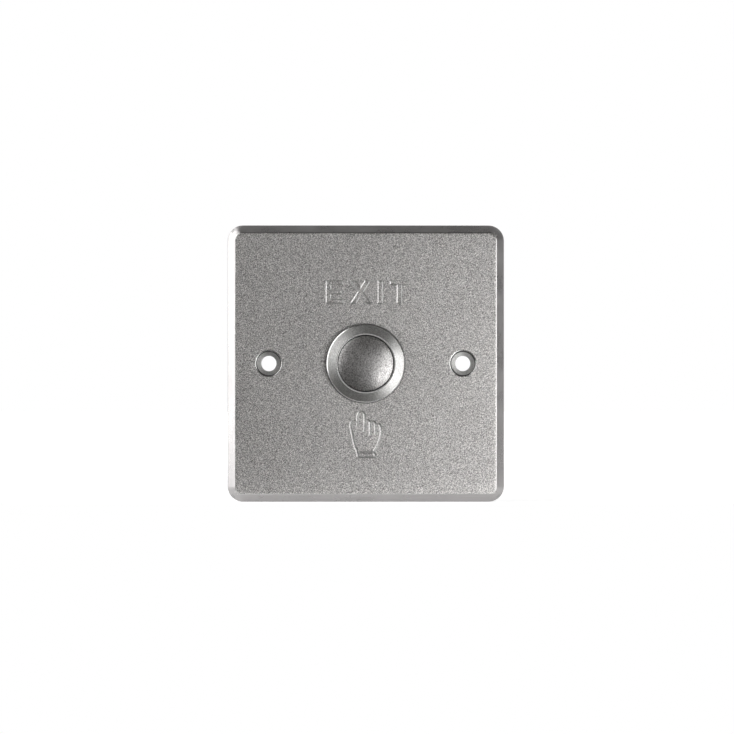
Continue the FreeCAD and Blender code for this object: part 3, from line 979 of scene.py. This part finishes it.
plate_finishes = [blasted_nickel, smooth_nickel, cast_skin, edge_nickel, painted_shade_nickel, seat_nickel,
                  mark_nickel]
plate.data.materials.clear()
for paint in plate_finishes:
    plate.data.materials.append(paint)
counts = [0] * len(plate_finishes)
for face in plate.data.polygons:
    c, n = face.center, face.normal
    outward = max(abs(c.x), abs(c.z))
    in_sink = math.hypot(abs(c.x) - screw_x, c.z) < sink_radius and n.y > flat_turn
    in_cavity = c.y > face_y + skin - margin and outward < half - cavity_edge
    if in_cavity or n.y > back_turn:
        paint = cast_skin
    # painted shade: the walls of the screw holes are painted near black for the shadow inside them
    elif in_sink and n.y > wall_turn:
        paint = painted_shade_nickel
    elif in_sink and c.y > face_y + seat_from:
        paint = seat_nickel
    elif in_sink:
        paint = edge_nickel
    elif outward > half - border_width - margin:
        paint = smooth_nickel
    elif c.y < face_y + mark_reach and n.y > mark_turn:
        paint = mark_nickel
    else:
        paint = blasted_nickel
    face.material_index = plate_finishes.index(paint)
    counts[face.material_index] += 1
smooth(plate, 35)
for face in plate.data.polygons:
    if face.normal.y > straight:
        face.use_smooth = False
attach(plate, "mounted")
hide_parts("face_plate")
print("faces blasted, smooth, cast, edge, sunk, seat, mark:", counts)

# %% [markdown]
# ## The button
#
# The button is a shallow dome. Its edge is broken with a small round, so a bright line runs round
# it, and its side drops straight into the ring's bore.

# %% Spin the button
cap_low, cap_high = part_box("button_cap")
cap_radius = cap_high.x
dome_rise = 1.9 * mm
cap_edge_round = 0.35 * mm
skirt_wall = 1.5 * mm
inside_y = cap_low.y + dome_rise + 0.6 * mm    # of the cap's flat inner face
cap_top = cap_low.y
dome_radius = (cap_radius**2 + dome_rise**2) / (2 * dome_rise)
dome_turn = math.asin((cap_radius - cap_edge_round * 0.7) / dome_radius)
dome_steps = 24
dome = []
for step in range(dome_steps + 1):
    a = dome_turn * step / dome_steps
    dome.append(Vector((dome_radius * math.sin(a), cap_top + dome_radius * (1 - math.cos(a)))))
edge = rounded_line([
    (dome[-2].x, dome[-2].y, 0),
    (cap_radius, dome[-1].y + 0.12 * mm, cap_edge_round * 0.6),
    (cap_radius, cap_high.y, 0.1 * mm),
    (cap_radius - skirt_wall, cap_high.y, 0.05 * mm),
    (cap_radius - skirt_wall, inside_y, 0.2 * mm),
    (0, inside_y, 0),
])
button = put("button_dome", spun("button_dome", dome[:-2] + edge[1:]))
finished(button, "button_cap", button_nickel)

# %% [markdown]
# ## The ring and the barrel
#
# The ring is the sloping flange of the switch's turned body. Behind the plate the same body goes
# on as a threaded barrel. A fine thread is one ridge wound round and round, so the barrel is a
# lattice of points whose radius rises and falls once in each pitch along the axis, shifted by one
# pitch in each turn round it. The crests are cut a little flat, as a die leaves them. The ring's
# lip and rim shine more than its slope, and its steep side is painted dark: a painted shadow line
# round the ring.

# %% Spin the ring and wind the thread
housing_low, housing_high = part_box("switch_housing")
gasket_low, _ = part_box("flange_gasket")
bore_radius = cap_radius + 0.27 * mm
flange_radius = housing_high.x
flange_back = gasket_low.y
flange_front = housing_low.y
flange_rim = 0.6 * mm
lip_width = 0.45 * mm
barrel_radius = 10.9 * mm
web_front, web_thickness = 1.8 * mm, 1.6 * mm
stem_hole = 2.55 * mm
barrel_end = housing_high.y
thread_pitch = 1.0 * mm
thread_depth = 0.55 * mm
thread_start = face_y + 0.1 * mm
rim_chamfer = 0.28 * mm        # of the flange's outer corner, seen from the front
rim_side = 0.27 * mm           # of the steep side outside it
rim_slope = math.tan(math.radians(41))
lip_radius = bore_radius + lip_width
lip_back = 0.2 * mm            # how far behind the flange's front the lip's faces reach
root_radius = barrel_radius - thread_depth
rim_y = flange_back - flange_rim
cone_radius = flange_radius - rim_side - rim_chamfer
cone_share = (flange_radius - cone_radius) / (flange_radius - lip_radius)
cone_y = rim_y + (flange_front - rim_y) * cone_share

ring_line = rounded_line([
    (root_radius, thread_start, 0),
    (root_radius, flange_back, 0),
    (flange_radius, flange_back, 0.05 * mm),
    (flange_radius - rim_side, cone_y + rim_chamfer * rim_slope, 0.06 * mm),
    (cone_radius, cone_y, 0.12 * mm),
    (lip_radius, flange_front, 0.08 * mm),
    (bore_radius, flange_front, 0.14 * mm),
    (bore_radius, web_front, 0.2 * mm),
    (stem_hole, web_front, 0.1 * mm),
    (stem_hole, web_front + web_thickness, 0.1 * mm),
    (bore_radius, web_front + web_thickness, 0.2 * mm),
    (bore_radius, barrel_end, 0.1 * mm),
    (root_radius, barrel_end, 0),
])
peak, foot = 1.25, 0.12        # height of the uncut ridge, and depth of its foot
run_out = 0.8                  # turns in which the thread runs out at its end


def thread(name, radius, depth, pitch, y_from, y_to, segments=96, rows=8):
    """A wound ridge on the outside of a barrel, running out at both ends."""
    bm = bmesh.new()
    count = int((y_to - y_from) / pitch * rows)
    columns = []
    for k in range(segments):
        a = 2 * math.pi * k / segments
        column = []
        for j in range(count + 1):
            y = y_from + (y_to - y_from) * j / count
            phase = (y / pitch - k / segments) % 1.0
            ridge = min(1.0, max(0.0, peak * (1 - abs(2 * phase - 1)) - foot))
            ease = min(1.0, (y - y_from) / pitch, (y_to - y) / (run_out * pitch))
            r = radius - depth + depth * ridge * max(0.0, ease)
            column.append(bm.verts.new((r * math.cos(a), y, r * math.sin(a))))
        columns.append(column)
    join_columns(bm, columns)
    bmesh.ops.recalc_face_normals(bm, faces=bm.faces)
    return mesh_from(bm, name)


ring_mesh = spun("switch_ring", ring_line, 160)
barrel_mesh = thread("barrel_thread", barrel_radius, thread_depth, thread_pitch,
                     thread_start, barrel_end)
ring = put("switch_ring", ring_mesh)
barrel = put("barrel_thread", barrel_mesh)
finished(ring, "switch_housing", ring_nickel)
ring.data.materials.append(edge_nickel)
ring.data.materials.append(painted_shadow_side_nickel)
for face in ring.data.polygons:
    r, y = math.hypot(face.center.x, face.center.z), face.center.y
    on_side = r > flange_radius - rim_side
    on_rim = r > cone_radius and not on_side
    off_lip = abs(r - bore_radius - lip_width / 2)
    on_lip = off_lip < lip_width * 0.7 and y < flange_front + lip_back
    # the steep side gets the painted shadow finish, rim and lip the bright edge finish
    face.material_index = 2 if on_side else 1 if on_rim or on_lip else 0
finished(barrel, "switch_housing", turned_nickel)
print("thread turns:", round((barrel_end - thread_start) / thread_pitch, 1),
      "faces:", len(barrel_mesh.polygons))

# %% [markdown]
# ## The nut
#
# A hexagon nut's corners are turned down on both faces, which leaves the curved lines where the
# cone meets the flats. The same spinning idea makes it, with one change: the outer radius follows
# the hexagon as the angle goes round, and the cone's depth follows from that radius.

# %% Spin the nut
nut_low, nut_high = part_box("mounting_nut")
nut_flat = nut_high.z
nut_slope = math.tan(math.radians(28))
nut_bore = barrel_radius - thread_depth * 0.5
nut_bevel = 0.6 * mm           # at both ends of the bore
nut_land = nut_flat * 0.985    # radius of the flat part of both faces
corner_in, corner_down = 0.02 * mm, 0.03 * mm    # the small round where a cone meets a flat
per_side = 20


def nut_mesh():
    """A hexagon nut with both faces turned down to its flats."""
    bm = bmesh.new()
    columns = []
    steps = 6 * per_side
    for k in range(steps):
        a = 2 * math.pi * k / steps
        off = (math.degrees(a) % 60) - 30
        r = nut_flat / math.cos(math.radians(off))
        drop = (r - nut_land) * nut_slope
        line = [
            (nut_bore, nut_low.y + nut_bevel), (nut_bore + nut_bevel, nut_low.y),
            (nut_land, nut_low.y), (r - corner_in, nut_low.y + drop),
            (r, nut_low.y + drop + corner_down), (r, nut_high.y - drop - corner_down),
            (r - corner_in, nut_high.y - drop), (nut_land, nut_high.y),
            (nut_bore + nut_bevel, nut_high.y), (nut_bore, nut_high.y - nut_bevel),
        ]
        column = [bm.verts.new((p * math.cos(a), y, p * math.sin(a))) for p, y in line]
        columns.append(column[-1:] + column)
    join_columns(bm, columns)
    bmesh.ops.recalc_face_normals(bm, faces=bm.faces)
    return mesh_from(bm, "hexagon_nut")


nut = finished(put("hexagon_nut", nut_mesh()), "mounting_nut", turned_nickel)

# %% [markdown]
# ## Springs
#
# A spring is a wire on a helix. Its last coil at each end lies flat, so that it sits square, and
# the rise between is shared by the open coils. The frame's springs are drawn with few flat sides;
# these are round, with the same wire, diameter and ends.

# %% Wind the springs
flat_turns = 0.9               # at each end of a spring


def spring(node, wire, turns, paint, body):
    """A coil with closed ends that fills its node's box."""
    low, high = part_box(node)
    radius = (high.x - low.x) / 2 - wire / 2
    steps = 24
    total = int(turns * steps)
    open_from, open_to = flat_turns * steps, total - flat_turns * steps
    curve = bpy.data.curves.new(node + "_wire", "CURVE")
    curve.dimensions = "3D"
    curve.bevel_depth = wire / 2
    curve.bevel_resolution = 3
    curve.use_fill_caps = True
    line = curve.splines.new("POLY")
    line.points.add(total)
    y_from, y_to = low.y + wire / 2, high.y - wire / 2
    for k in range(total + 1):
        a = 2 * math.pi * k / steps
        share = min(1.0, max(0.0, (k - open_from) / (open_to - open_from)))
        y = y_from + (y_to - y_from) * share
        line.points[k].co = (radius * math.cos(a), y, radius * math.sin(a), 1)
    obj = put(node + "_wire", curve)
    bpy.context.view_layer.update()
    mesh = bpy.data.meshes.new_from_object(obj.evaluated_get(bpy.context.evaluated_depsgraph_get()))
    bpy.data.objects.remove(obj)
    print(node, "turns:", turns, "faces:", len(mesh.polygons))
    coil = finished(put(node + "_wire", mesh), node, paint, body)
    coil.modifiers.clear()
    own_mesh(coil)


spring("return_spring", 0.5 * mm, 3.4, spring_wire, "mounted")
spring("contact_spring", 0.3 * mm, 4.2, spring_wire, "bridge")

# %% [markdown]
# ## The rest of the switch
#
# The other pieces already have their form, and need soft edges and a finish: stamped parts get a
# narrow round, the moulded base and plunger a wider one, and the small silver tips keep crisp
# sides.

# %% Dress the small pieces
soft_copies = [
    ("flange_gasket", black_rubber, 0.10),
    ("lock_washer", zinc_plate, 0.08),
    ("cap_seal", black_rubber, 0.10),
    ("plunger", white_plastic, 0.15),
    ("retaining_clip", spring_wire, 0.08),
    ("contact_bridge", copper_strip, 0.08),
    ("contact_base", black_plastic, 0.18),
]
for pole in ("no", "com"):
    soft_copies += [
        (pole + "_bridge_tip", silver_tip, 0.10),
        (pole + "_fixed_tip", silver_tip, 0.10),
        (pole + "_terminal", brass_strip, 0.10),
        (pole + "_clamp", zinc_plate, 0.10),
        (pole + "_screw", zinc_plate, 0.15),
    ]
for node, paint, width in soft_copies:
    dressed(node, paint, width * mm)
